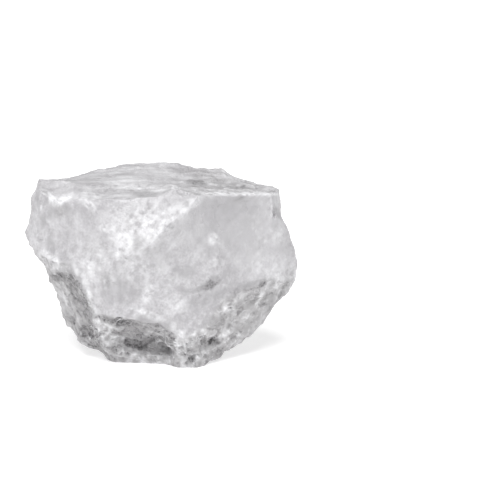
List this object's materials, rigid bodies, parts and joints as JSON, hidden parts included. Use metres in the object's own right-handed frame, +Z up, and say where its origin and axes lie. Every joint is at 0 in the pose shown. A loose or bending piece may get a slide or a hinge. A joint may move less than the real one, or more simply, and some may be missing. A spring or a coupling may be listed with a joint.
{
  "type": "alum stone",
  "caption": "Raw lump of milky alum crystal with broken flat faces, a rough undercut foot and a flat underside to rest on.",
  "frame": {"origin": "centre of the footprint of the whole stone, at the height of the underside it rests on", "axes": "+X along the stone's longest side, -Y towards the front seen in the picture, +Z up"},
  "size_m": [0.0912, 0.0522, 0.0613],
  "materials": {
    "alum": "frosted, milky, broken crystal faces"
  },
  "bodies": {
    "root": {"alum_stone": "alum"}
  },
  "joints": []
}
